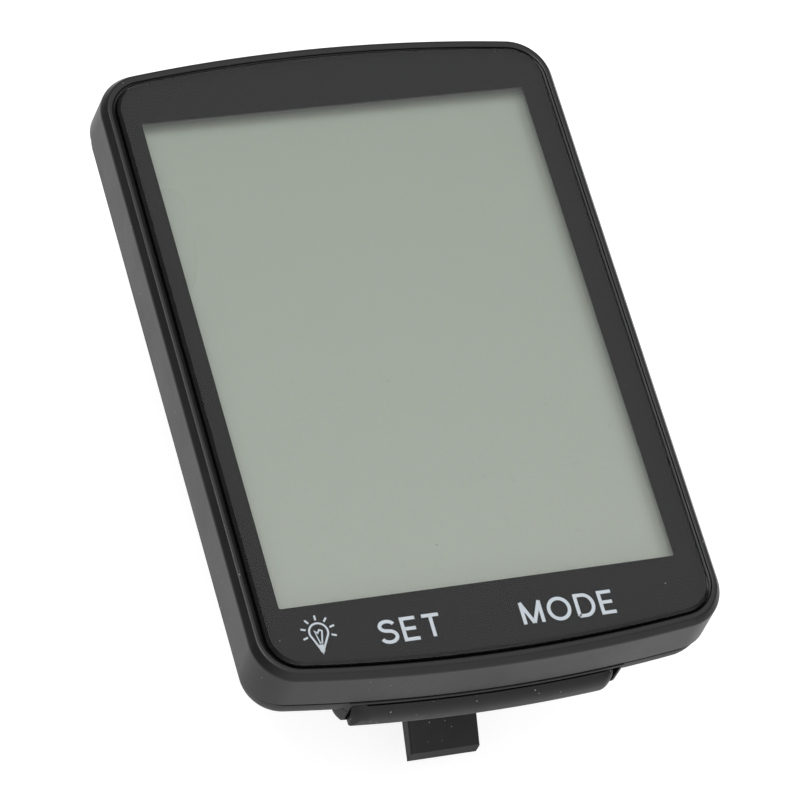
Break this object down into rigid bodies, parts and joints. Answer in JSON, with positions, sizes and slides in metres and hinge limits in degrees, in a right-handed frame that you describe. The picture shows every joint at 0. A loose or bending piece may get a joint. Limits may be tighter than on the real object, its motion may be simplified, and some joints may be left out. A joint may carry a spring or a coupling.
{
  "type": "cycling computer",
  "caption": "Slim handlebar cycling computer with a large display, a rocker key bar, a coin cell bay and a slide-on bracket with a release tongue.",
  "frame": {"origin": "middle of the outline, on the surface that the bracket's pad stands on", "axes": "+Z out of the display, +Y towards the display's top, +X to the right as it is read"},
  "size_m": [0.0522, 0.0766, 0.029],
  "materials": {
    "shell_plastic": "fine moulded texture",
    "lens_acrylic": "clear polished",
    "mask_ink": "printed black",
    "legend_ink": "printed light grey",
    "lcd_glass": "grey-green display",
    "black_foam": "adhesive foam",
    "white_moulding": "matt white",
    "light_guide": "milky",
    "led_body": "cast resin",
    "zebra_rubber": "silicone",
    "board_laminate": "solder mask",
    "chip_resin": "cast resin",
    "tin_can": "tinned",
    "ferrite_winding": "lacquered wire",
    "switch_body": "moulded",
    "silicone": "matt silicone",
    "key_plastic": "satin moulded",
    "steel": "turned",
    "cell_steel": "pressed",
    "screw_steel": "blackened",
    "seal_rubber": "smooth",
    "bracket_plastic": "moulded",
    "pad_rubber": "ribbed rubber"
  },
  "bodies": {
    "bracket": {"bracket_base": "bracket_plastic", "bar_pad": "pad_rubber", "lever_pin": "steel", "lever_spring": "steel"},
    "lever": {"release_lever": "bracket_plastic"},
    "head": {"front_shell": "shell_plastic", "lens": "lens_acrylic", "mask_print": "mask_ink", "legend_print": "legend_ink", "lens_tape": "black_foam", "lcd_panel": "lcd_glass", "lcd_tray": "white_moulding", "backlight_plate": "light_guide", "backlight_leds": "led_body", "zebra_strip": "zebra_rubber", "main_board": "board_laminate", "controller_chip": "chip_resin", "crystal_can": "tin_can", "receiver_coil": "ferrite_winding", "set_switch": "switch_body", "mode_switch": "switch_body", "key_membrane": "silicone", "key_pin": "steel", "key_frame": "shell_plastic", "frame_screws": "screw_steel", "coin_cell": "cell_steel", "battery_contact": "tin_can", "side_contact": "tin_can", "rear_shell": "shell_plastic", "shell_seal": "seal_rubber", "shell_screws": "screw_steel"},
    "key": {"rocker_key": "key_plastic"},
    "cover": {"battery_cover": "shell_plastic", "cover_seal": "seal_rubber"}
  },
  "joints": [
    {"name": "unit_slide", "type": "slide", "parent": "bracket", "child": "head", "axis": [0, 1, 0], "range_m": [0, 0.0064]},
    {"name": "lever_press", "type": "hinge", "parent": "bracket", "child": "lever", "pos_m": [0, 0.002, 0.0112], "axis": [1, 0, 0], "range_deg": [0, 6.5], "stiffness_Nm_per_rad": 0.01, "deforming": ["lever_spring"]},
    {"name": "key_rock", "type": "hinge", "parent": "head", "child": "key", "pos_m": [0, -0.0346, 0.0201], "axis": [0, 0, 1], "range_deg": [-2.5, 2.5], "stiffness_Nm_per_rad": 0.05},
    {"name": "cover_turn", "type": "hinge", "parent": "head", "child": "cover", "pos_m": [0, 0.019, 0.0172], "axis": [0, 0, 1], "range_deg": [-60, 0]}
  ],
  "couplings": [
    {"joint": "lever_press", "follows": "unit_slide", "rad_per_m": 17.72}
  ]
}
